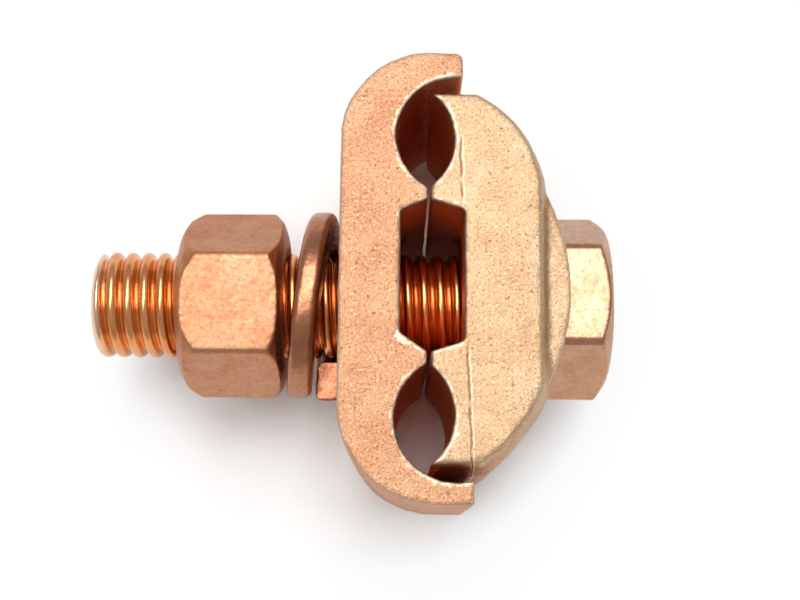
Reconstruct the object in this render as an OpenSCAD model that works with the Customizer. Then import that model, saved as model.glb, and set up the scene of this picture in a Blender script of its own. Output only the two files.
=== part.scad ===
// Parallel groove clamp: two cast jaws, a hexagon bolt, a nut and a spring washer.
// X runs along the bolt (nut end at -X, head at +X), Y along the jaws, Z up from the faces it lies on.

/* [Jaws] */
// Length of both jaws along the conductors
jaw_depth = 24; // [20:0.5:40]
// How far the hook jaw reaches above the jaws' middle
hook_up = 20; // [18:0.1:24]
// How far the hook jaw reaches below the jaws' middle
hook_down = 19.6; // [18:0.1:24]
// Height of the bolt jaw's end faces between the lips
bolt_jaw_h = 32.4; // [30:0.2:34]
// Thickness of the hook jaw's web
web_t = 5.1; // [4:0.1:8]
// Thickness of the bolt jaw from the parting plane to the face under the head
bolt_jaw_t = 10; // [8:0.1:14]
// Radius of the hook jaw's upper corner
upper_corner_r = 7.8; // [4:0.1:9]
// Radius of the hook jaw's lower corner
lower_corner_r = 8.6; // [4:0.1:9]
// Reach of the upper lip past the parting plane
upper_lip_reach = 2.95; // [1:0.05:5]
// Reach of the lower lip past the parting plane
lower_lip_reach = 3.9; // [1:0.05:5]
// Gap between the lobes of the two jaws
parting_gap = 0.3; // [0.2:0.05:1]
// Thickness of the hook jaw's lips
lip_t = 2.2; // [1.6:0.1:3]
// Thickness of the bolt jaw's end faces behind the head
end_face_t = 9.8; // [8:0.1:11]
// Width of the end faces' flat top
upper_end_w = 4.2; // [3:0.1:7]
// Width of the end faces' flat bottom
lower_end_w = 4.6; // [3:0.1:7]
// How far the end faces' straight back reaches above the jaws' middle
back_up = 7.6; // [6:0.1:12]
// How far the end faces' straight back reaches below the jaws' middle
back_down = 9.7; // [6:0.1:12]
// Bulge of the bolt jaw's upper shoulder past a straight chamfer
upper_shoulder_bulge = 1.4; // [0:0.1:2]
// Bulge of the bolt jaw's lower shoulder past a straight chamfer
lower_shoulder_bulge = 0.5; // [0:0.1:2]
// How much the bolt jaw grows on each side behind its end faces
draft = 0.8; // [0:0.1:1]
// Length over which it grows
draft_h = 3.5; // [1:0.1:6]

/* [Conductor grooves] */
// Radius of both halves of each groove
groove_r = 5.3; // [4.5:0.05:6]
// Distance between the two groove centres
groove_spacing = 24.8; // [22:0.1:28]
// Depth of the hook jaw's grooves below the parting plane
hook_groove_depth = 2.9; // [2:0.05:4]
// Depth of the bolt jaw's grooves below the parting plane
bolt_groove_depth = 2.2; // [1.5:0.05:3]

/* [Window] */
// Height of the window at its corners in the hook jaw
hook_window_h = 10.7; // [10:0.1:12]
// Height of the window at its corners in the bolt jaw
bolt_window_h = 11.5; // [10:0.1:12]
// Height of the window between the lobes
window_mouth_h = 13; // [12:0.1:14]
// Depth of the window in the hook jaw
hook_window_depth = 2.5; // [1.5:0.05:4]
// Depth of the window in the bolt jaw
bolt_window_depth = 3.15; // [1.5:0.05:5]

/* [Head walls] */
// Thickness of the two walls that hold the head
wall_t = 2.1; // [1.5:0.1:3]
// Height of the walls above the face under the head, at their middle
wall_rise = 2.45; // [1:0.05:5]
// Play of the head between the walls, each side
head_play = 0.2; // [0.1:0.05:1]

/* [Bolt and nut] */
// Thread diameter
thread_d = 9.86; // [8:0.02:12]
// Thread pitch
thread_pitch = 1.5; // [1:0.25:2]
// Length under the head
bolt_len = 40.6; // [38:0.1:60]
// Chamfer at the tip
tip_chamfer = 0.9; // [0.3:0.1:1.5]
// Width across flats of the head and the nut
flats = 15.2; // [14:0.1:20]
// How much wider than the flats the head and the nut are across their rounded corners
corner_rise = 2; // [0.8:0.1:2.4]
// Height of the head
head_h = 6.6; // [5:0.1:9]
// Height of the nut
nut_h = 9.8; // [8:0.1:12]
// Turn of the head about the bolt
head_turn = 0; // [-1:0.5:1]
// Turn of the nut about the bolt
nut_turn = 8.5; // [-30:0.5:30]
// Play of the thread in the nut, radial
thread_play = 0.07; // [0.03:0.01:0.09]
// Play of the bolt in its hole through both jaws, radial
hole_play = 1.07; // [0.8:0.01:1.6]
// How far the bolt sits below the middle of its holes
bolt_drop = 0.7; // [0:0.05:0.7]

/* [Spring washer] */
// Play of the bolt in the washer, radial
washer_play = 0.22; // [0.05:0.01:0.8]
// Width of its bar
washer_w = 3.7; // [3:0.1:5]
// Thickness
washer_t = 2.3; // [1.5:0.1:3]
// Rise of its one turn, uncompressed
washer_rise = 2.6; // [1:0.1:3.5]
// Lean of the loose washer, in degrees
washer_lean = 3; // [0:0.5:4]
// Width of its split, in degrees
washer_split = 9; // [4:1:20]
// Gap from the washer to the jaw and to the nut
washer_gap = 0.15; // [0.1:0.05:0.5]

/* [Hidden] */
$fn = 96;
eps = 0.5;

corners = flats + corner_rise;
bolt_hole_d = thread_d + 2 * hole_play;
tip_x = bolt_jaw_t - bolt_len;
end_x = bolt_jaw_t + head_h;
// The origin is under the middle of the whole clamp.
origin_shift = [-(tip_x + end_x) / 2, (hook_down - hook_up) / 2, jaw_depth / 2];

hook_back_x = -parting_gap / 2 - hook_window_depth - web_t;
hook_groove_x = groove_r - hook_groove_depth;
bolt_groove_x = bolt_groove_depth - groove_r;
lip_x = max(upper_lip_reach, lower_lip_reach);

wall_z = flats / 2 + head_play;
// Half of each head wall's chord: the walls stand in line with the bolt, inside the face under the head
wall_half = min(back_up + bolt_drop, back_down - bolt_drop) + draft / 2;
// Radius of the arc that tops each head wall, from its chord and its rise
wall_r = (pow(wall_half, 2) + pow(wall_rise, 2)) / (2 * wall_rise);
// Straight steps that make each bowed shoulder
shoulder_steps = 12;
// Height of the head walls' foot inside the jaw, so that they are one casting with it
wall_foot = 1;

// Length of the chamfers that round off the hexagons' corners
cone_h = 1.5;
// Radius just past the hexagons' corners, where their chamfers start
cone_r = corners / 2 + 0.1;
// Radius of the flat ring round the nut's thread
nut_ring_w = 0.9;
nut_ring_r = thread_d / 2 + nut_ring_w;
// Radius of the flat round on the head's end
head_round_r = 0.47 * flats;

washer_id = thread_d + 2 * washer_play;
washer_od = washer_id + 2 * washer_w;
washer_mean_r = (washer_id + washer_od) / 4;
washer_start = washer_split / 2;
washer_sweep = 360 - washer_split;
washer_steps = 60;
// X of the washer's middle where its jaw-side end stops, and where its nut-side end starts
washer_end_x = hook_back_x - washer_gap - washer_t / 2;
washer_tilt = tan(washer_lean);
washer_low_x = washer_end_x - washer_rise - washer_t / 2;
nut_face_x = washer_low_x - washer_gap;

// A quarter of the hook jaw's outline, up to its lip, for the side +1 above or -1 below
module hook_half(side, height, corner_r, lip_reach) {
    corner_x = hook_back_x + corner_r;
    scale([1, side])
        union() {
            translate([hook_back_x, 0])
                square([corner_r, height - corner_r]);
            intersection() {
                translate([corner_x, height - corner_r])
                    circle(corner_r);
                translate([hook_back_x, height - corner_r])
                    square([corner_r, corner_r]);
            }
            translate([corner_x, 0])
                square([lip_reach - corner_x, height]);
        }
}

module hook_outline() {
    difference() {
        union() {
            hook_half(1, hook_up, upper_corner_r, upper_lip_reach);
            hook_half(-1, hook_down, lower_corner_r, lower_lip_reach);
        }
        for (side = [-1, 1])
            translate([hook_groove_x, side * groove_spacing / 2])
                circle(groove_r);
        // The room past the lobes, and between the lips where the grooves run out into them
        translate([-parting_gap / 2, -groove_spacing / 2])
            square([lip_x + parting_gap + eps, groove_spacing]);
        translate([hook_groove_x, lip_t - hook_down])
            square([lip_x - hook_groove_x + eps, hook_down + hook_up - 2 * lip_t]);
        polygon([
            [-parting_gap / 2 - hook_window_depth, -hook_window_h / 2],
            [-parting_gap / 2 - hook_window_depth, hook_window_h / 2],
            [0, window_mouth_h / 2],
            [0, -window_mouth_h / 2]
        ]);
    }
}

// Points from p to q on a shallow parabola that bulges to the right of the way by bulge
function bowed(p, q, bulge) =
    let (along = q - p, out = [along[1], -along[0]] / norm(along))
    [for (i = [0 : shoulder_steps])
        let (t = i / shoulder_steps) p + along * t + out * 4 * bulge * t * (1 - t)];

// One end face of the bolt jaw, grown outwards by grow but not past the parting plane
module end_face_outline(grow) {
    intersection() {
        offset(delta = grow)
            polygon(concat(
                [[parting_gap / 2, bolt_jaw_h / 2], [parting_gap / 2, -bolt_jaw_h / 2]],
                bowed([lower_end_w, -bolt_jaw_h / 2], [end_face_t, -back_down], lower_shoulder_bulge),
                bowed([end_face_t, back_up], [upper_end_w, bolt_jaw_h / 2], upper_shoulder_bulge)
            ));
        translate([parting_gap / 2, -bolt_jaw_h])
            square([2 * bolt_jaw_t, 2 * bolt_jaw_h]);
    }
}

// The bolt jaw's casting without its grooves: it grows from both end faces to its middle
module bolt_jaw_body() {
    slice = 0.01;
    hull()
        for (side = [-1, 1]) {
            translate([0, 0, side * (jaw_depth - slice) / 2 - slice / 2])
                linear_extrude(height = slice)
                    end_face_outline(0);
            translate([0, 0, side * (jaw_depth / 2 - draft_h) - slice / 2])
                linear_extrude(height = slice)
                    end_face_outline(draft);
        }
}

// What both grooves and the window take from the bolt jaw
module bolt_jaw_cuts() {
    for (side = [-1, 1])
        translate([bolt_groove_x, side * groove_spacing / 2])
            circle(groove_r);
    polygon([
        [parting_gap / 2 + bolt_window_depth, -bolt_window_h / 2],
        [parting_gap / 2 + bolt_window_depth, bolt_window_h / 2],
        [0, window_mouth_h / 2],
        [0, -window_mouth_h / 2]
    ]);
}

// A cylinder along the bolt, from x0 to x1
module along_bolt(x0, x1, r0, r1) {
    translate([x0, -bolt_drop, 0])
        rotate([0, 90, 0])
            cylinder(h = x1 - x0, r1 = r0, r2 = r1);
}

module bolt_hole() {
    translate([hook_back_x - eps, 0, 0])
        rotate([0, 90, 0])
            cylinder(h = bolt_jaw_t - hook_back_x + 2 * eps, r = bolt_hole_d / 2);
}

// A hexagon prism along the bolt with rounded corners, flats facing up and down at turn 0
module hexagon(x0, x1, turn) {
    intersection() {
        translate([x0, -bolt_drop, 0])
            rotate([turn, 0, 0])
                rotate([0, 90, 0])
                    rotate([0, 0, 90])
                        cylinder(h = x1 - x0, r = flats / sqrt(3), $fn = 6);
        along_bolt(x0, x1, corners / 2, corners / 2);
    }
}

module head_walls() {
    for (side = [-1, 1])
        translate([0, 0, side * (wall_z + wall_t / 2) - wall_t / 2])
            linear_extrude(height = wall_t)
                intersection() {
                    translate([bolt_jaw_t + wall_rise - wall_r, -bolt_drop])
                        circle(wall_r);
                    translate([bolt_jaw_t - wall_foot, -bolt_drop - wall_half])
                        square([wall_foot + wall_rise, 2 * wall_half]);
                }
}

module hook_jaw() {
    color("#d99b78")
        translate(origin_shift)
            difference() {
                translate([0, 0, -jaw_depth / 2])
                    linear_extrude(height = jaw_depth)
                        hook_outline();
                bolt_hole();
            }
}

module bolt_jaw() {
    color("#e6b98c")
        translate(origin_shift)
            difference() {
                union() {
                    difference() {
                        bolt_jaw_body();
                        // The channel between the walls, whose floor the head sits on
                        translate([bolt_jaw_t, -bolt_jaw_h, -wall_z])
                            cube([2 * draft, 2 * bolt_jaw_h, 2 * wall_z]);
                    }
                    head_walls();
                }
                translate([0, 0, -jaw_depth / 2 - eps])
                    linear_extrude(height = jaw_depth + 2 * eps)
                        bolt_jaw_cuts();
                bolt_hole();
            }
}

module hex_bolt() {
    color("#d88a58")
        translate(origin_shift)
            union() {
                intersection() {
                    hexagon(bolt_jaw_t, end_x, head_turn);
                    union() {
                        along_bolt(bolt_jaw_t, end_x - cone_h / 2, corners, corners);
                        along_bolt(end_x - cone_h / 2, end_x, cone_r, head_round_r);
                    }
                }
                along_bolt(tip_x + tip_chamfer, bolt_jaw_t + eps, thread_d / 2, thread_d / 2);
                along_bolt(tip_x, tip_x + tip_chamfer, thread_d / 2 - tip_chamfer, thread_d / 2);
            }
}

module hex_nut() {
    nut_x = nut_face_x - nut_h;
    bore_r = thread_d / 2 + thread_play;
    color("#dd9a6e")
        translate(origin_shift)
            difference() {
                intersection() {
                    hexagon(nut_x, nut_face_x, nut_turn);
                    union() {
                        along_bolt(nut_x, nut_x + cone_h, nut_ring_r, cone_r);
                        along_bolt(nut_x + cone_h, nut_face_x - cone_h, corners, corners);
                        along_bolt(nut_face_x - cone_h, nut_face_x, cone_r, nut_ring_r);
                    }
                }
                along_bolt(nut_x - eps, nut_face_x + eps, bore_r, bore_r);
            }
}

// A point of the washer's section at an angle round the bolt, measured from -Y through +Z
function washer_point(angle, r, side) =
    [
        washer_end_x - washer_rise * (1 - angle / 360)
            + washer_tilt * (washer_mean_r - r * cos(angle)) + side * washer_t / 2,
        -bolt_drop - r * cos(angle),
        r * sin(angle)
    ];

module spring_washer() {
    rings = [for (i = [0 : washer_steps]) washer_start + washer_sweep * i / washer_steps];
    points = [
        for (a = rings)
            for (corner = [[washer_id, -1], [washer_od, -1], [washer_od, 1], [washer_id, 1]])
                washer_point(a, corner[0] / 2, corner[1])
    ];
    last = 4 * washer_steps;
    faces = concat(
        [[0, 1, 2, 3]],
        [for (i = [0 : washer_steps - 1]) for (k = [0 : 3])
            [4 * i + k, 4 * i + 4 + k, 4 * i + 4 + (k + 1) % 4, 4 * i + (k + 1) % 4]],
        [[last + 3, last + 2, last + 1, last]]
    );
    color("#c9835c")
        translate(origin_shift)
            polyhedron(points, faces, convexity = 4);
}

hook_jaw();
bolt_jaw();
hex_bolt();
hex_nut();
spring_washer();
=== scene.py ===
"""Looks of a copper parallel groove clamp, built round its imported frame."""

from math import cos, exp, pi, radians, sin, sqrt

import bmesh
import bpy
from mathutils import Matrix, Quaternion, Vector, noise


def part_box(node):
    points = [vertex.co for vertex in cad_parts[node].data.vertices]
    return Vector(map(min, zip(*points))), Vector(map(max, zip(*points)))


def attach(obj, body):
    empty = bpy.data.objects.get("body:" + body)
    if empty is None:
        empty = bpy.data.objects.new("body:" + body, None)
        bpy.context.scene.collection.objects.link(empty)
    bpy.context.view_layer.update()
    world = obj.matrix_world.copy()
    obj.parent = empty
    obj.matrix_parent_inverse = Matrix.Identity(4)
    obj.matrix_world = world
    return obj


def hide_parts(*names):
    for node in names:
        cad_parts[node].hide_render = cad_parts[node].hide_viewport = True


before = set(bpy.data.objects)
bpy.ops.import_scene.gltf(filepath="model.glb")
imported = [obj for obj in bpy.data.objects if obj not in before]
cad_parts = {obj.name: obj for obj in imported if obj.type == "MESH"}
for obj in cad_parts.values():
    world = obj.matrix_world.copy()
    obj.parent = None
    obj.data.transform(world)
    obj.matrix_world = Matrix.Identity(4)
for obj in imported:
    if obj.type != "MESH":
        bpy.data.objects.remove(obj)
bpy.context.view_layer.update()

MM = 0.001

# ---------------------------------------------------------------- sizes, in millimetres
# The clamp frame: x from the parting plane between the jaws, y from the jaws' middle,
# z from the plane of the bolt. The row frame's place of its origin comes from the CAD.

HALF_GAP = 0.15
BOLT_Y = -0.7
jaw_low, jaw_high = (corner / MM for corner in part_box("bolt_jaw"))
hook_low, hook_high = (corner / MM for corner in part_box("hook_jaw"))
bolt_low, bolt_high = (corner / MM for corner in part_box("hex_bolt"))
nut_low, nut_high = (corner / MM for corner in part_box("hex_nut"))
washer_low, washer_high = (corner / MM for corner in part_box("spring_washer"))

CLAMP_ORIGIN = Vector((jaw_low.x - HALF_GAP, (bolt_low.y + bolt_high.y) / 2 - BOLT_Y, jaw_high.z / 2))
DEPTH = jaw_high.z
HOOK_BACK = hook_low.x - CLAMP_ORIGIN.x
HOOK_UP = hook_high.y - CLAMP_ORIGIN.y
HOOK_DOWN = CLAMP_ORIGIN.y - hook_low.y
UPPER_CORNER = 7.8
LOWER_CORNER = 8.6
UPPER_LIP = 2.95
LOWER_LIP = hook_high.x - CLAMP_ORIGIN.x
LIP_THICKNESS = 2.2

JAW_BACK = 10.0
DRAFT = 0.8
DRAFT_LENGTH = 3.5
JAW_HALF = (jaw_high.y - jaw_low.y) / 2 - DRAFT
END_FACE_BACK = 9.8
END_FACE_TOP = 4.2
END_FACE_BOTTOM = 4.6
BACK_UP = 7.6
BACK_DOWN = 9.7
UPPER_BULGE = 1.4
LOWER_BULGE = 0.5
WALL_RISE = jaw_high.x - CLAMP_ORIGIN.x - JAW_BACK
WALL_PLAY = 0.2
WALL_THICKNESS = 2.1

GROOVE_RADIUS = 5.3
GROOVE_Y = 12.4
HOOK_GROOVE_X = GROOVE_RADIUS - 2.9
JAW_GROOVE_X = 2.2 - GROOVE_RADIUS
HOOK_WINDOW_HEIGHT = 10.7
JAW_WINDOW_HEIGHT = 11.5
WINDOW_MOUTH = 13.4
HOOK_WINDOW = 2.3
HOOK_WINDOW_UP = 0.3
JAW_WINDOW = 2.95
JAW_GROOVE_Y = 12.1

BOLT_HOLE_RADIUS = 6.0
THREAD_RADIUS = 4.93
PITCH = 1.5
TIP_STEP = 0.92
TIP_ROUNDING = 1.0
TIP_X = bolt_low.x - CLAMP_ORIGIN.x
HEAD_END = bolt_high.x - CLAMP_ORIGIN.x
FLATS = 15.2
CORNERS = 17.2
HEAD_TURN = 0
NUT_TURN = 8.5
NUT_FAR = nut_low.x - CLAMP_ORIGIN.x
NUT_FACE = nut_high.x - CLAMP_ORIGIN.x

WASHER_INSIDE = 5.15
WASHER_OUTSIDE = 8.85
WASHER_THICKNESS = 2.3
WASHER_RISE = 2.6
WASHER_LEAN = 3
WASHER_SPLIT = 9
WASHER_GAP = 0.15

# The core's seam on the bolt jaw's end faces: its place level with the middle, its lean and its upper end
SEAM_X = 3.1
SEAM_LEAN = 0.035
SEAM_TOP = 12.2

# Voxels that the crisp solids are turned into before their edges are softened
CASTING_VOXEL = 0.19
HARDWARE_VOXEL = 0.13
WASHER_VOXEL = 0.12

# Unevenness of the castings, as layers of (size, height)
CAST_SKIN = [(3.0, 0.06), (0.9, 0.05), (0.45, 0.025)]

# How deep into a cavity the painted shade grows to its full strength, and how wide the painted highlight
# along a rim is
SHADE_DEPTH = 1.6
RIM_WIDTH = 0.5
FAR_AWAY = 9


# ---------------------------------------------------------------- shapes

def outline_solid(points, low, high):
    """A prism along z over a flat outline."""
    bm = bmesh.new()
    face = bm.faces.new([bm.verts.new((x, y, low)) for x, y in points])
    grown = bmesh.ops.extrude_face_region(bm, geom=[face])["geom"]
    top = [v for v in grown if isinstance(v, bmesh.types.BMVert)]
    bmesh.ops.translate(bm, verts=top, vec=(0, 0, high - low))
    bmesh.ops.recalc_face_normals(bm, faces=bm.faces)
    return bm


def loft(outlines):
    """A solid through equally long outlines, each given with its height."""
    bm = bmesh.new()
    rings = [[bm.verts.new((x, y, z)) for x, y in points] for z, points in outlines]
    for low, high in zip(rings, rings[1:]):
        for i in range(len(low)):
            bm.faces.new([low[i - 1], low[i], high[i], high[i - 1]])
    bm.faces.new(rings[0])
    bm.faces.new(rings[-1])
    bmesh.ops.recalc_face_normals(bm, faces=bm.faces)
    return bm


def grown(points, amount):
    """An anticlockwise outline moved outwards, held at the parting plane."""
    moved = []
    for i, place in enumerate(points):
        here = Vector(place)
        into = (here - Vector(points[i - 1])).normalized()
        away = (Vector(points[(i + 1) % len(points)]) - here).normalized()
        out = Vector((into.y + away.y, -into.x - away.x)).normalized()
        here += out * amount / out.dot(Vector((into.y, -into.x)))
        moved.append((max(HALF_GAP, here.x), here.y))
    return moved


def round_upright_edges(bm, radius, segments, chosen):
    """Rounds the edges along z whose place passes the test."""
    edges = [
        e for e in bm.edges
        if abs(e.verts[0].co.z - e.verts[1].co.z) > DEPTH / 20 and chosen(e.verts[0].co)
    ]
    bmesh.ops.bevel(
        bm, geom=edges, offset=radius, segments=segments, profile=0.5, affect="EDGES", material=-1
    )


def rod(radius, start, end, along, centre, segments=96):
    """A cylinder along x or z."""
    bm = bmesh.new()
    turn = Matrix.Rotation(pi / 2, 4, "Y") if along == "x" else Matrix.Identity(4)
    middle = (start + end) / 2
    shift = Vector((middle, centre[0], centre[1])) if along == "x" else Vector((*centre, middle))
    bmesh.ops.create_cone(
        bm, cap_ends=True, segments=segments, radius1=radius, radius2=radius,
        depth=end - start, matrix=Matrix.Translation(shift) @ turn,
    )
    return bm


def turned(profile, y=0.0, steps=96):
    """A solid turned round the bolt's line from (x, radius) points; both ends lie on that line."""
    bm = bmesh.new()
    verts = [bm.verts.new((x, radius, 0)) for x, radius in profile]
    edges = [bm.edges.new(pair) for pair in zip(verts, verts[1:])]
    bmesh.ops.spin(
        bm, geom=verts + edges, cent=(0, 0, 0), axis=(1, 0, 0), angle=2 * pi, steps=steps, use_merge=True
    )
    bmesh.ops.remove_doubles(bm, verts=bm.verts, dist=0.001)
    bmesh.ops.recalc_face_normals(bm, faces=bm.faces)
    bmesh.ops.translate(bm, verts=bm.verts, vec=(0, y, 0))
    return bm


def hexagon_bar(start, end, turn, corner_round):
    """A hexagon bar along the bolt with its long edges rounded, flats up and down at turn 0."""
    bm = bmesh.new()
    spin = Matrix.Rotation(radians(turn), 4, "X") @ Matrix.Rotation(pi / 2, 4, "Y")
    bmesh.ops.create_cone(
        bm, cap_ends=True, segments=6, radius1=FLATS / sqrt(3), radius2=FLATS / sqrt(3), depth=end - start,
        matrix=Matrix.Translation(((start + end) / 2, BOLT_Y, 0)) @ spin,
    )
    long_edges = [e for e in bm.edges if abs(e.verts[0].co.x - e.verts[1].co.x) > (end - start) / 2]
    bmesh.ops.bevel(
        bm, geom=long_edges, offset=corner_round, segments=4, profile=0.5, affect="EDGES", material=-1
    )
    return bm


def as_object(bm, name):
    """Puts a clamp-frame bmesh into the row frame, in metres, as a linked object."""
    bmesh.ops.translate(bm, verts=bm.verts, vec=CLAMP_ORIGIN)
    bmesh.ops.scale(bm, verts=bm.verts, vec=(MM, MM, MM))
    mesh = bpy.data.meshes.new(name)
    bm.to_mesh(mesh)
    bm.free()
    piece = bpy.data.objects.new(name, mesh)
    bpy.context.scene.collection.objects.link(piece)
    return piece


def settle(piece):
    """Applies all modifiers of a piece."""
    graph = bpy.context.evaluated_depsgraph_get()
    mesh = bpy.data.meshes.new_from_object(piece.evaluated_get(graph))
    piece.modifiers.clear()
    old = piece.data
    piece.data = mesh
    bpy.data.meshes.remove(old)


def combine(piece, tools, operation):
    """Cuts, joins or intersects a piece with each bmesh in turn."""
    for bm in tools:
        tool = as_object(bm, "tool")
        change = piece.modifiers.new("change", "BOOLEAN")
        change.object = tool
        change.operation = operation
        change.solver = "EXACT"
        settle(piece)
        mesh = tool.data
        bpy.data.objects.remove(tool)
        bpy.data.meshes.remove(mesh)


def tumble(piece, voxel, passes):
    """Softens a crisp solid's edges as casting and tumbling do, and stores how much each point gave way."""
    remesh = piece.modifiers.new("remesh", "REMESH")
    remesh.mode = "VOXEL"
    remesh.voxel_size = voxel * MM
    settle(piece)
    mesh = piece.data
    before = [v.co.copy() for v in mesh.vertices]
    soften = piece.modifiers.new("soften", "SMOOTH")
    soften.factor = 0.5
    soften.iterations = passes
    settle(piece)
    mesh = piece.data
    wear = mesh.attributes.new("wear", "FLOAT", "POINT")
    for i, v in enumerate(mesh.vertices):
        wear.data[i].value = (before[i] - v.co).dot(v.normal) / (voxel * MM)


def shelter(piece, sheltered):
    """Stores how far inside a cavity each point lies, from 0 at its mouths to 1, for the painted shade of
    the cavity walls.

    The sides that face -y count a little too: a painted shade that gives them a slightly redder tone.
    """
    mesh = piece.data
    depth = mesh.attributes.new("shelter", "FLOAT", "POINT")
    for v in mesh.vertices:
        p = v.co / MM - CLAMP_ORIGIN
        into = DEPTH / 2 - abs(p.z)
        if abs(v.normal.z) < 0.8 and sheltered(p, v.normal):
            depth.data[v.index].value = min(1.0, max(0.0, into - 0.1) / SHADE_DEPTH)
        elif v.normal.y < -0.2:
            facing = min(1.0, (-0.2 - v.normal.y) / 0.7)
            depth.data[v.index].value = 0.2 * facing * min(1.0, max(0.0, into - 0.1))


def rim(piece, groove_x, groove_y, side, depth, height):
    """Stores how near each point of the end faces lies to a groove's or the window's rim, for a painted
    highlight there.

    The bolt jaw's side that faces the hook's lower lip gets values below 0, down to -1, for the painted
    shade in the slit there.
    """
    mesh = piece.data
    near = mesh.attributes.new("rim", "FLOAT", "POINT")
    mouth = Vector((0, WINDOW_MOUTH / 2))
    slope = (Vector((side * (HALF_GAP + depth), height / 2)) - mouth).normalized()
    for v in mesh.vertices:
        p = v.co / MM - CLAMP_ORIGIN
        if abs(v.normal.z) < 0.75:
            if side > 0 and v.normal.y < -0.5:
                over_lip = min(1.0, max(0.0, 6.0 - p.x) / 2.5)
                into = min(1.0, max(0.0, DEPTH / 2 - abs(p.z) - 0.4))
                near.data[v.index].value = -over_lip * into
            continue
        to_groove = abs(Vector((p.x - groove_x, abs(p.y) - groove_y)).length - GROOVE_RADIUS)
        from_mouth = Vector((p.x, abs(p.y))) - mouth
        beside_slope = 0 < from_mouth.dot(slope) < 3.2
        to_window = abs(from_mouth.x * slope.y - from_mouth.y * slope.x) if beside_slope else FAR_AWAY
        near.data[v.index].value = exp(-(min(to_groove, to_window) / RIM_WIDTH) ** 2)


def roughen(piece, layers):
    """Moves each point along its normal by noise layers of (size, height) in millimetres."""
    mesh = piece.data
    moved = []
    for v in mesh.vertices:
        place = v.co / MM
        lift = sum(height * noise.noise(place / size) for size, height in layers)
        moved.append(v.co + v.normal * lift * MM)
    for v, place in zip(mesh.vertices, moved):
        v.co = place


def finish_piece(piece, body, nodes, material):
    """Keeps a piece inside its CAD box, gives it its finish and tells the frame what it stands for."""
    low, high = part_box(nodes[0])
    for v in piece.data.vertices:
        v.co = [min(max(value, least), most) for value, least, most in zip(v.co, low, high)]
    for polygon in piece.data.polygons:
        polygon.use_smooth = True
    piece.data.materials.clear()
    piece.data.materials.append(material)
    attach(piece, body)
    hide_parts(*nodes)


# ---------------------------------------------------------------- shader maths

class Value:
    """A number socket with Python's operators."""

    def __init__(self, finish, socket):
        self.finish = finish
        self.socket = socket

    def math(self, operation, first, second):
        return self.finish.add("ShaderNodeMath", {"operation": operation}, {0: first, 1: second})

    def __add__(self, other):
        return self.math("ADD", self, other)

    __radd__ = __add__

    def __mul__(self, other):
        return self.math("MULTIPLY", self, other)

    __rmul__ = __mul__

    def __sub__(self, other):
        return self.math("SUBTRACT", self, other)

    def __rsub__(self, other):
        return self.math("SUBTRACT", other, self)

    def __abs__(self):
        return self.math("ABSOLUTE", self, 0)


class Finish:
    """A material and the nodes that make it."""

    def __init__(self, name):
        self.material = bpy.data.materials.new(name)
        self.material.use_nodes = True
        self.tree = self.material.node_tree
        self.shader = self.tree.nodes["Principled BSDF"]
        self.place = self.add("ShaderNodeTexCoord", {}, {}, "Object")

    def add(self, kind, settings, inputs, output=0):
        """Makes a node; its settings are set first, then its sockets get values or links."""
        node = self.tree.nodes.new(kind)
        for name, value in settings.items():
            if name == "stops":
                while len(node.color_ramp.elements) < len(value):
                    node.color_ramp.elements.new(0.5)
                for element, (position, colour) in zip(node.color_ramp.elements, value):
                    element.position = position
                    element.color = colour
            else:
                setattr(node, name, value)
        for socket, value in inputs.items():
            self.put(node.inputs[socket], value)
        return Value(self, node.outputs[output])

    def put(self, socket, value):
        if isinstance(value, Value):
            self.tree.links.new(value.socket, socket)
        else:
            socket.default_value = value

    def noise(self, size, detail=2.0, roughness=0.5):
        """Noise from 0 to 1 whose features are about size millimetres across."""
        return self.add(
            "ShaderNodeTexNoise", {},
            {"Vector": self.place, "Scale": 1 / (size * MM), "Detail": detail, "Roughness": roughness},
        )

    def between(self, value, low, high, to_low=0.0, to_high=1.0):
        """Maps low..high to to_low..to_high and holds the ends."""
        return self.add(
            "ShaderNodeMapRange", {"clamp": True},
            {"Value": value, "From Min": low, "From Max": high, "To Min": to_low, "To Max": to_high},
        )

    def blend(self, factor, first, second):
        """A colour between two colours."""
        return self.add("ShaderNodeMix", {"data_type": "RGBA"}, {0: factor, 6: first, 7: second}, 2)

    def axis(self, number):
        """The clamp-frame x, y or z of a point, in millimetres."""
        place = self.add("ShaderNodeSeparateXYZ", {}, {0: self.place}, number)
        return place * (1 / MM) - CLAMP_ORIGIN[number]

    def stored(self, name):
        return self.add("ShaderNodeAttribute", {"attribute_name": name}, {}, "Fac")

    def bump(self, height, distance, strength=1.0, normal=None):
        inputs = {"Height": height, "Distance": distance * MM, "Strength": strength}
        if normal:
            inputs["Normal"] = normal
        return self.add("ShaderNodeBump", {}, inputs)

    def close(self, colour, roughness, normal):
        self.put(self.shader.inputs["Base Color"], colour)
        self.put(self.shader.inputs["Roughness"], roughness)
        self.put(self.shader.inputs["Normal"], normal)
        self.shader.inputs["Metallic"].default_value = 1.0
        return self.material


# ---------------------------------------------------------------- finishes

def colour(red, green, blue):
    return (red, green, blue, 1.0)


# Bare metal, which also serves as painted highlight on edges, rims and the seam's ridge; painted shade for
# the walls of the cavities and the sides that face -y; and painted shade in the slit between the bolt jaw
# and the hook's lower lip
BARE_AND_SHEEN = colour(0.92, 0.74, 0.56)
SHADE_RED = colour(0.76, 0.23, 0.08)
SLIT_SHADE = colour(0.16, 0.045, 0.018)


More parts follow.
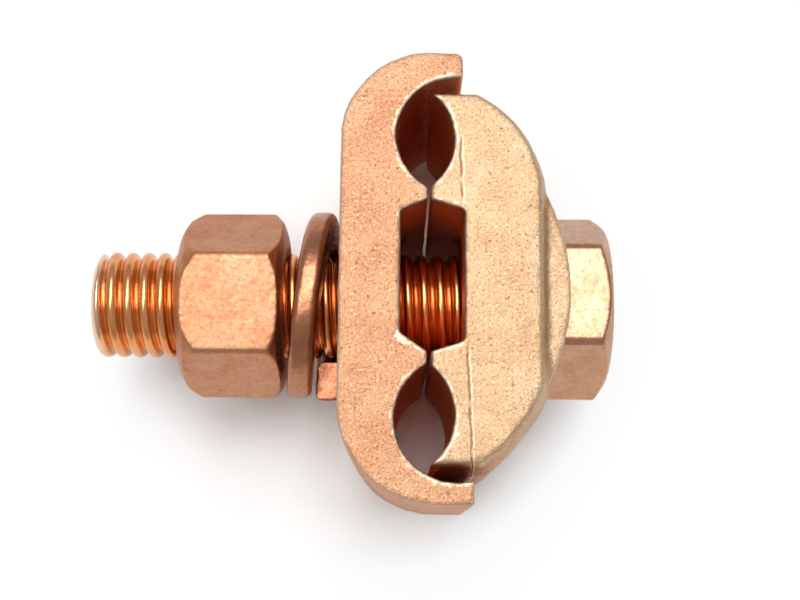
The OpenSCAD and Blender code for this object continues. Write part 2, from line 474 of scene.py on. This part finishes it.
def cast_copper(name, body, pale, deep, rough=0.5, seam=False):
    """A sand casting tumbled bright: crisp grain, pits, pale flecks, and edges rubbed paler, partly as
    painted highlight; painted highlight on the rims and the seam's ridge, and painted shade in the
    cavities, on the sides that face -y and in the slit over the lower lip.
    """
    finish = Finish(name)
    mottle = finish.noise(4.0, 3)
    grain = finish.noise(0.24, 4, 0.7)
    pits = finish.noise(0.5, 2)
    flecks = finish.noise(0.3, 3, 0.6)
    ragged = finish.noise(0.9, 4, 0.7)
    wear = finish.stored("wear")
    inside = finish.stored("shelter")
    rim_sheen_and_slit_shade = finish.stored("rim")
    tone = finish.blend(finish.between(mottle, 0.35, 0.65), body, pale)
    tone = finish.blend(finish.between(grain, 0.55, 0.67, 0.0, 0.7), tone, deep)
    tone = finish.blend(finish.between(grain, 0.46, 0.32, 0.0, 0.8), tone, pale)
    tone = finish.blend(finish.between(flecks, 0.57, 0.67, 0.0, 0.35), tone, BARE_AND_SHEEN)
    # Edges rubbed paler, which also paints their highlight
    tone = finish.blend(finish.between(wear, 0.08, 0.45, 0.0, 0.9), tone, BARE_AND_SHEEN)
    # Painted highlight along the rims of the grooves and the window
    rim_highlight = finish.between(rim_sheen_and_slit_shade * 0.45 + ragged, 0.75, 0.88)
    tone = finish.blend(rim_highlight * 0.85, tone, BARE_AND_SHEEN)
    # Painted shade in the slit over the hook's lower lip
    tone = finish.blend(finish.between(rim_sheen_and_slit_shade, 0.0, -0.9), tone, SLIT_SHADE)
    holes = finish.between(pits, 0.68, 0.73)
    tone = finish.blend(holes * 0.6, tone, deep)
    height = grain + finish.noise(1.2, 2) * 0.5 - holes * 0.5
    if seam:
        crease, ridge = seam_masks(finish)
        # The seam's ridge is only coloured: a painted highlight beside the crease
        tone = finish.blend(ridge * 0.6, finish.blend(crease * 0.8, tone, deep), BARE_AND_SHEEN)
        height = height - crease * 0.6
    # Painted shade on the cavity walls, and a little on the sides that face -y
    tone = finish.blend(finish.between(inside, 0.0, 0.9, 0.0, 0.95), tone, SHADE_RED)
    shine = finish.between(grain, 0.3, 0.7, rough - 0.1, rough + 0.1)
    return finish.close(tone, shine, finish.bump(height, 0.055, 1.0))


def seam_masks(finish):
    """The crease of the core's seam down the end faces, and the ridge beside it, which gets a painted
    highlight.
    """
    x, y = finish.axis(0), finish.axis(1)
    wobble = finish.noise(1.2, 3) * 0.4 - 0.2
    across = x + y * SEAM_LEAN - SEAM_X + wobble
    past_window = finish.between(abs(y), 5.9, 6.4)
    below_top = finish.between(y, SEAM_TOP + 0.6, SEAM_TOP - 0.6)
    crease = finish.between(abs(across), 0.12, 0.03)
    ridge = finish.between(abs(across - 0.2), 0.13, 0.03)
    shown = past_window * below_top * finish.between(finish.noise(1.5, 2), 0.35, 0.5, 0.3, 1.0)
    return crease * shown, ridge * shown


def worn_copper(name, body, pale, deep, rough=0.38):
    """Forged or turned copper: satin and finely crinkled, its corners rubbed paler."""
    finish = Finish(name)
    patches = finish.noise(2.6, 3, 0.6)
    crinkle = finish.noise(0.38, 4, 0.65)
    grain = finish.noise(0.2, 3, 0.6)
    wear = finish.stored("wear")
    tone = finish.blend(finish.between(patches, 0.4, 0.65), pale, body)
    tone = finish.blend(finish.between(crinkle, 0.55, 0.68, 0.0, 0.4), tone, deep)
    tone = finish.blend(finish.between(grain, 0.55, 0.75, 0.0, 0.35), tone, deep)
    tone = finish.blend(finish.between(wear, 0.1, 0.5, 0.0, 0.8), tone, BARE_AND_SHEEN)
    shine = finish.between(crinkle, 0.35, 0.65, rough - 0.06, rough + 0.08)
    height = grain * 0.4 + crinkle
    return finish.close(tone, shine, finish.bump(height, 0.035, 0.6))


def bright_thread(name, body, deep):
    """A rolled thread: smooth and glossy."""
    finish = Finish(name)
    patches = finish.noise(2.5, 2)
    tone = finish.blend(finish.between(patches, 0.35, 0.7), body, deep)
    tone = finish.blend(finish.between(finish.axis(0), TIP_X + 1.3, TIP_X + 0.5, 0.0, 0.6), tone, BARE_AND_SHEEN)
    return finish.close(tone, 0.24, finish.bump(patches, 0.02, 0.3))


# ---------------------------------------------------------------- pieces

def window_outline(side, depth, height, up=0.0):
    """The room between a jaw's two lobes, which narrows away from the parting plane."""
    far = side * (HALF_GAP + depth)
    return [
        (far, up - height / 2), (0, -WINDOW_MOUTH / 2), (-side, -WINDOW_MOUTH / 2),
        (-side, WINDOW_MOUTH / 2), (0, WINDOW_MOUTH / 2), (far, up + height / 2),
    ]


def grooves(x, y):
    return [rod(GROOVE_RADIUS, -DEPTH, DEPTH, "z", (x, side * y)) for side in (-1, 1)]


def hook_sheltered(p, normal):
    """True on the walls of the hook jaw's grooves, window, hole and inside its lips."""
    groove = (Vector((p.x - HOOK_GROOVE_X, abs(p.y) - GROOVE_Y))).length < GROOVE_RADIUS + 0.5
    window = p.x > -HALF_GAP - HOOK_WINDOW - 0.4 and abs(p.y) < WINDOW_MOUTH / 2 + 0.3
    lip = p.x > -0.5 and 16 < abs(p.y) < 18.3 and normal.y * p.y < 0
    hole = (Vector((p.y, p.z))).length < BOLT_HOLE_RADIUS + 0.3
    return groove or window or lip or hole


def jaw_sheltered(p, normal):
    """True on the walls of the bolt jaw's grooves, window and hole."""
    groove = (Vector((p.x - JAW_GROOVE_X, abs(p.y) - GROOVE_Y))).length < GROOVE_RADIUS + 0.5
    window = p.x < HALF_GAP + JAW_WINDOW + 0.4 and abs(p.y) < WINDOW_MOUTH / 2 + 0.3
    hole = (Vector((p.y, p.z))).length < BOLT_HOLE_RADIUS + 0.3 and p.x < JAW_BACK - 0.5
    return groove or window or hole


def make_hook_jaw(material):
    bm = outline_solid(
        [
            (HOOK_BACK, -HOOK_DOWN), (LOWER_LIP, -HOOK_DOWN), (LOWER_LIP, 0), (UPPER_LIP, 0),
            (UPPER_LIP, HOOK_UP), (HOOK_BACK, HOOK_UP),
        ],
        -DEPTH / 2, DEPTH / 2,
    )
    round_upright_edges(bm, UPPER_CORNER, 24, lambda p: p.x < HOOK_BACK + 1 and p.y > 0)
    round_upright_edges(bm, LOWER_CORNER, 24, lambda p: p.x < HOOK_BACK + 1 and p.y < 0)
    round_upright_edges(bm, 0.7, 4, lambda p: p.x > UPPER_LIP - 0.1 and p.y > HOOK_UP - 0.1)
    piece = as_object(bm, "hook_jaw_casting")
    room = outline_solid(
        [
            (-HALF_GAP, -GROOVE_Y), (HOOK_GROOVE_X, -GROOVE_Y), (HOOK_GROOVE_X, LIP_THICKNESS - HOOK_DOWN),
            (9, LIP_THICKNESS - HOOK_DOWN), (9, HOOK_UP - LIP_THICKNESS - 0.2),
            (HOOK_GROOVE_X, HOOK_UP - LIP_THICKNESS - 0.1), (HOOK_GROOVE_X, GROOVE_Y),
            (-HALF_GAP, GROOVE_Y),
        ],
        -DEPTH, DEPTH,
    )
    window = outline_solid(
        window_outline(-1, HOOK_WINDOW, HOOK_WINDOW_HEIGHT, HOOK_WINDOW_UP), -DEPTH, DEPTH)
    hole = rod(BOLT_HOLE_RADIUS, HOOK_BACK - 1, 1, "x", (0, 0))
    combine(piece, [room, *grooves(HOOK_GROOVE_X, GROOVE_Y), window, hole], "DIFFERENCE")
    tumble(piece, CASTING_VOXEL, 8)
    shelter(piece, hook_sheltered)
    rim(piece, HOOK_GROOVE_X, GROOVE_Y, -1, HOOK_WINDOW, HOOK_WINDOW_HEIGHT)
    roughen(piece, CAST_SKIN)
    finish_piece(piece, "hook_side", ["hook_jaw"], material)


def wall_outline():
    """One head wall: an arc over the face under the head, in line with the bolt."""
    half = min(BACK_UP - BOLT_Y, BACK_DOWN + BOLT_Y) + DRAFT + 0.1
    radius = (half ** 2 + WALL_RISE ** 2) / (2 * WALL_RISE)
    centre = JAW_BACK + WALL_RISE - radius
    steps = 32
    points = [(JAW_BACK - 1, BOLT_Y - half)]
    for i in range(steps + 1):
        y = -half + 2 * half * i / steps
        points.append((centre + sqrt(radius ** 2 - y ** 2), BOLT_Y + y))
    points.append((JAW_BACK - 1, BOLT_Y + half))
    return points


def bowed(start, end, bulge, steps=12):
    """Points along a shallow curve that bulges to the right of the way."""
    start, end = Vector(start), Vector(end)
    along = end - start
    out = Vector((along.y, -along.x)).normalized()
    ways = [i / steps for i in range(steps + 1)]
    return [tuple(start + along * t + out * 4 * bulge * t * (1 - t)) for t in ways]


def make_bolt_jaw(material):
    face = [
        (HALF_GAP, JAW_HALF), (HALF_GAP, -JAW_HALF),
        *bowed((END_FACE_BOTTOM, -JAW_HALF), (END_FACE_BACK, -BACK_DOWN), LOWER_BULGE),
        *bowed((END_FACE_BACK, BACK_UP), (END_FACE_TOP, JAW_HALF), UPPER_BULGE),
    ]
    body = grown(face, DRAFT)
    end, shoulder = DEPTH / 2, DEPTH / 2 - DRAFT_LENGTH
    rounding = [(0.0, -0.3), (0.08, -0.14), (0.3, 0.02)]
    ends = [(end - down, grown(face, out)) for down, out in rounding]
    piece = as_object(
        loft([(-z, points) for z, points in ends] + [(-shoulder, body), (shoulder, body)] + ends[::-1]),
        "bolt_jaw_casting",
    )
    middle = FLATS / 2 + WALL_PLAY
    far = JAW_BACK + 2 * DRAFT
    channel = outline_solid(
        [(JAW_BACK, -2 * JAW_HALF), (far, -2 * JAW_HALF), (far, 2 * JAW_HALF), (JAW_BACK, 2 * JAW_HALF)],
        -middle, middle,
    )
    combine(piece, [channel], "DIFFERENCE")
    walls = [
        outline_solid(wall_outline(), *sorted((side * middle, side * (middle + WALL_THICKNESS))))
        for side in (-1, 1)
    ]
    combine(piece, walls, "UNION")
    window = outline_solid(window_outline(1, JAW_WINDOW, JAW_WINDOW_HEIGHT), -DEPTH, DEPTH)
    hole = rod(BOLT_HOLE_RADIUS, -1, JAW_BACK + 5, "x", (0, 0))
    combine(piece, [*grooves(JAW_GROOVE_X, JAW_GROOVE_Y), window, hole], "DIFFERENCE")
    tumble(piece, CASTING_VOXEL, 10)
    shelter(piece, jaw_sheltered)
    rim(piece, JAW_GROOVE_X, JAW_GROOVE_Y, 1, JAW_WINDOW, JAW_WINDOW_HEIGHT)
    roughen(piece, CAST_SKIN)
    finish_piece(piece, "bolt_side", ["bolt_jaw"], material)


def make_thread(name, start, end, segments=72):
    """A rolled right-hand thread with a rounded tip at its start."""
    depth = 0.45 * PITCH
    root = THREAD_RADIUS - depth
    profile = [
        (0.00, 0.0), (0.05, 0.07), (0.12, 0.34), (0.20, 0.66), (0.30, 0.88), (0.40, 0.97), (0.50, 1.0),
        (0.60, 0.97), (0.70, 0.88), (0.80, 0.66), (0.88, 0.34), (0.95, 0.07), (1.00, 0.0),
    ]
    turns = int((end - start) / PITCH) + 3
    bm = bmesh.new()
    verts = [bm.verts.new((start - PITCH + x * PITCH, -root - h * depth, 0)) for x, h in profile]
    edges = [bm.edges.new(pair) for pair in zip(verts, verts[1:])]
    bmesh.ops.spin(
        bm, geom=verts + edges, cent=(0, 0, 0), axis=(1, 0, 0), dvec=(PITCH / segments, 0, 0),
        angle=2 * pi * turns, steps=segments * turns,
    )
    bmesh.ops.remove_doubles(bm, verts=bm.verts, dist=0.01)
    for x, outward in ((start, (-1, 0, 0)), (end, (1, 0, 0))):
        everything = bm.verts[:] + bm.edges[:] + bm.faces[:]
        bmesh.ops.bisect_plane(
            bm, geom=everything, plane_co=(x, 0, 0), plane_no=outward, clear_outer=True
        )
    bmesh.ops.recalc_face_normals(bm, faces=bm.faces)
    for v in bm.verts:
        radius = sqrt(v.co.y ** 2 + v.co.z ** 2)
        into = max(0.0, min(1.0, (v.co.x - start) / TIP_ROUNDING))
        limit = THREAD_RADIUS - TIP_STEP + (TIP_STEP + 0.05) * sqrt(1 - (1 - into) ** 2)
        if radius > limit:
            v.co.y *= limit / radius
            v.co.z *= limit / radius
    bmesh.ops.translate(bm, verts=bm.verts, vec=(0, BOLT_Y, 0))
    return as_object(bm, name)


def make_bolt(head_material, thread_material):
    piece = as_object(hexagon_bar(JAW_BACK, HEAD_END, HEAD_TURN, 0.3), "bolt_head")
    lens = turned([(JAW_BACK - 1, 0), (JAW_BACK - 1, CORNERS / 2), (HEAD_END - 1.0, CORNERS / 2),
                   (HEAD_END, FLATS * 0.47), (HEAD_END, 0)], BOLT_Y)
    combine(piece, [lens], "INTERSECT")
    tumble(piece, HARDWARE_VOXEL, 4)
    roughen(piece, [(4.0, 0.04), (0.5, 0.012)])
    finish_piece(piece, "bolt_side", ["hex_bolt"], head_material)
    tip = THREAD_RADIUS - TIP_STEP
    core = as_object(
        turned([(TIP_X, 0), (TIP_X, tip - 0.3), (TIP_X, tip + 0.03), (TIP_X + 0.06, tip + 0.15),
                (JAW_BACK, tip + 0.15), (JAW_BACK, 0)], BOLT_Y),
        "bolt_core",
    )
    finish_piece(core, "bolt_side", ["hex_bolt"], thread_material)
    thread = make_thread("bolt_thread", TIP_X, JAW_BACK + 0.5)
    finish_piece(thread, "bolt_side", ["hex_bolt"], thread_material)


def make_nut(material):
    piece = as_object(hexagon_bar(NUT_FAR, NUT_FACE, NUT_TURN, 0.3), "nut_body")
    lens = turned([(NUT_FAR, 0), (NUT_FAR, 6.1), (NUT_FAR + 0.2, 6.9), (NUT_FAR + 0.8, 7.9),
                   (NUT_FAR + 1.9, CORNERS / 2 + 0.05), (NUT_FACE - 1.2, CORNERS / 2 + 0.05),
                   (NUT_FACE - 0.5, 7.9), (NUT_FACE - 0.12, 6.8), (NUT_FACE, 5.9), (NUT_FACE, 0)], BOLT_Y)
    combine(piece, [lens], "INTERSECT")
    bore = THREAD_RADIUS + 0.05
    flare = 0.7
    hole = turned([(NUT_FAR - 1, 0), (NUT_FAR - 1, bore + 1 + flare), (NUT_FAR + flare, bore),
                   (NUT_FACE - flare, bore), (NUT_FACE + 1, bore + 1 + flare), (NUT_FACE + 1, 0)], BOLT_Y)
    combine(piece, [hole], "DIFFERENCE")
    tumble(piece, HARDWARE_VOXEL, 4)
    roughen(piece, [(4.0, 0.05), (0.5, 0.015)])
    finish_piece(piece, "nut", ["hex_nut"], material)


def make_washer(material):
    """One left-hand turn of a rounded bar, leaning on the bolt, its split at the bottom."""
    bm = bmesh.new()
    half = WASHER_THICKNESS / 2
    section = [
        (-half, WASHER_INSIDE), (half, WASHER_INSIDE), (half, WASHER_OUTSIDE), (-half, WASHER_OUTSIDE),
    ]
    face = bm.faces.new([bm.verts.new((x, -radius, 0)) for x, radius in section])
    bmesh.ops.bevel(
        bm, geom=bm.verts[:], offset=0.7, segments=6, profile=0.5, affect="VERTICES", material=-1
    )
    bm.faces.ensure_lookup_table()
    bmesh.ops.delete(bm, geom=bm.faces[:], context="FACES_ONLY")
    sweep = radians(360 - WASHER_SPLIT)
    steps = 96
    half_split = Matrix.Rotation(-radians(WASHER_SPLIT / 2), 3, "X")
    bmesh.ops.rotate(bm, verts=bm.verts, cent=(0, 0, 0), matrix=half_split)
    rise = WASHER_RISE * sweep / (2 * pi)
    bmesh.ops.spin(
        bm, geom=bm.verts[:] + bm.edges[:], cent=(0, 0, 0), axis=(-1, 0, 0), dvec=(rise / steps, 0, 0),
        angle=sweep, steps=steps,
    )
    bmesh.ops.holes_fill(bm, edges=[e for e in bm.edges if e.is_boundary])
    bmesh.ops.recalc_face_normals(bm, faces=bm.faces)
    mean = (WASHER_INSIDE + WASHER_OUTSIDE) / 2
    lean = sin(radians(WASHER_LEAN)) / cos(radians(WASHER_LEAN))
    end_x = HOOK_BACK - WASHER_GAP - half
    for v in bm.verts:
        v.co.x += end_x - WASHER_RISE * (1 - WASHER_SPLIT / 720) + lean * (mean + v.co.y)
    bmesh.ops.translate(bm, verts=bm.verts, vec=(0, BOLT_Y, 0))
    piece = as_object(bm, "washer_coil")
    tumble(piece, WASHER_VOXEL, 3)
    roughen(piece, [(3.0, 0.04), (0.8, 0.02)])
    finish_piece(piece, "hook_side", ["spring_washer"], material)


# ---------------------------------------------------------------- stage

def make_floor():
    bm = bmesh.new()
    bmesh.ops.create_grid(bm, x_segments=1, y_segments=1, size=3.0)
    mesh = bpy.data.meshes.new("floor")
    bm.to_mesh(mesh)
    bm.free()
    floor = bpy.data.objects.new("floor", mesh)
    bpy.context.scene.collection.objects.link(floor)
    white = bpy.data.materials.new("white_floor")
    white.use_nodes = True
    tree = white.node_tree
    matt = tree.nodes["Principled BSDF"]
    matt.inputs["Base Color"].default_value = colour(1.0, 1.0, 1.0)
    matt.inputs["Roughness"].default_value = 0.9
    matt.inputs["Specular IOR Level"].default_value = 0.0
    # Seen straight, in metal or through glass the far floor is close to plain white.
    # Near the clamp it keeps its shadow.
    rays = tree.nodes.new("ShaderNodeLightPath")
    place = tree.nodes.new("ShaderNodeTexCoord")
    distance = tree.nodes.new("ShaderNodeVectorMath")
    distance.operation = "LENGTH"
    far = tree.nodes.new("ShaderNodeMapRange")
    for name, value in (("From Min", 0.019), ("From Max", 0.026), ("To Min", 0.0), ("To Max", 0.85)):
        far.inputs[name].default_value = value
    seen = tree.nodes.new("ShaderNodeMath")
    seen.operation = "ADD"
    either = tree.nodes.new("ShaderNodeMath")
    either.operation = "ADD"
    either.use_clamp = True
    share = tree.nodes.new("ShaderNodeMath")
    share.operation = "MULTIPLY"
    plain = tree.nodes.new("ShaderNodeEmission")
    mix = tree.nodes.new("ShaderNodeMixShader")
    link = tree.links.new
    link(place.outputs["Object"], distance.inputs[0])
    link(distance.outputs["Value"], far.inputs["Value"])
    link(rays.outputs["Is Camera Ray"], seen.inputs[0])
    link(rays.outputs["Is Glossy Ray"], seen.inputs[1])
    link(seen.outputs[0], either.inputs[0])
    link(rays.outputs["Is Transmission Ray"], either.inputs[1])
    link(either.outputs[0], share.inputs[0])
    link(far.outputs[0], share.inputs[1])
    link(share.outputs[0], mix.inputs[0])
    link(matt.outputs[0], mix.inputs[1])
    link(plain.outputs[0], mix.inputs[2])
    link(mix.outputs[0], tree.nodes["Material Output"].inputs["Surface"])
    mesh.materials.append(white)


def make_camera():
    data = bpy.data.cameras.new("camera")
    camera = bpy.data.objects.new("camera", data)
    bpy.context.scene.collection.objects.link(camera)
    sensor, picture_width = 36.0, 800
    distance, elevation = 125.0, radians(79.0)
    pixels_per_mm_at_bolt = 10.6
    data.sensor_width = sensor
    data.lens = pixels_per_mm_at_bolt * distance / picture_width * sensor
    data.clip_start = 0.005
    look_at = CLAMP_ORIGIN + Vector((-2.45, 0.0, 0))
    away = Vector((0, -cos(elevation), sin(elevation)))
    camera.location = (look_at + away * distance) * MM
    roll = Quaternion((0, 0, 1), radians(0.5))
    camera.rotation_euler = ((-away).to_track_quat("-Z", "Y") @ roll).to_euler()
    bpy.context.scene.camera = camera


def make_lights():
    world = bpy.data.worlds.new("world")
    bpy.context.scene.world = world
    world.use_nodes = True
    background = world.node_tree.nodes["Background"]
    background.inputs["Color"].default_value = colour(1.0, 1.0, 1.0)
    background.inputs["Strength"].default_value = 0.46
    # All stand overhead or behind, so that the end faces are bright and the sides darker.
    for name, tilt_x, tilt_y, half_angle, radiance in (
        ("softbox_behind", 0.0, 15.0, 15.0, 6.3),
        ("softbox_left", -18.0, -5.0, 9.5, 6.5),
        ("softbox_high", 0.0, 47.0, 8.0, 6.0),
    ):
        distance = 0.6
        size = 2 * distance * sin(radians(half_angle)) / cos(radians(half_angle))
        place = Vector((sin(radians(tilt_x)), sin(radians(tilt_y)), 1.0)).normalized() * distance
        data = bpy.data.lights.new(name, "AREA")
        data.shape = "DISK"
        data.size = size
        data.energy = radiance * pi * pi * (size / 2) ** 2
        lamp = bpy.data.objects.new(name, data)
        lamp.location = place
        lamp.rotation_euler = (-place).to_track_quat("-Z", "Y").to_euler()
        bpy.context.scene.collection.objects.link(lamp)


make_camera()
make_lights()
make_floor()
make_hook_jaw(cast_copper(
    "hook_casting", colour(0.50, 0.24, 0.13), colour(0.57, 0.32, 0.18), colour(0.33, 0.11, 0.045)))
make_bolt_jaw(cast_copper(
    "bolt_casting", colour(0.54, 0.33, 0.185), colour(0.61, 0.43, 0.26), colour(0.38, 0.17, 0.075),
    seam=True))
make_bolt(
    worn_copper(
        "bolt_metal", colour(0.50, 0.25, 0.14), colour(0.55, 0.31, 0.19), colour(0.36, 0.15, 0.08), 0.30),
    bright_thread("thread_metal", colour(0.84, 0.38, 0.16), colour(0.72, 0.27, 0.09)),
)
make_nut(worn_copper(
    "nut_metal", colour(0.53, 0.22, 0.11), colour(0.58, 0.28, 0.155), colour(0.36, 0.13, 0.055), 0.42))
make_washer(worn_copper(
    "washer_metal", colour(0.42, 0.165, 0.085), colour(0.46, 0.20, 0.11), colour(0.26, 0.09, 0.04), 0.30))

scene = bpy.context.scene
scene.view_settings.view_transform = "Standard"
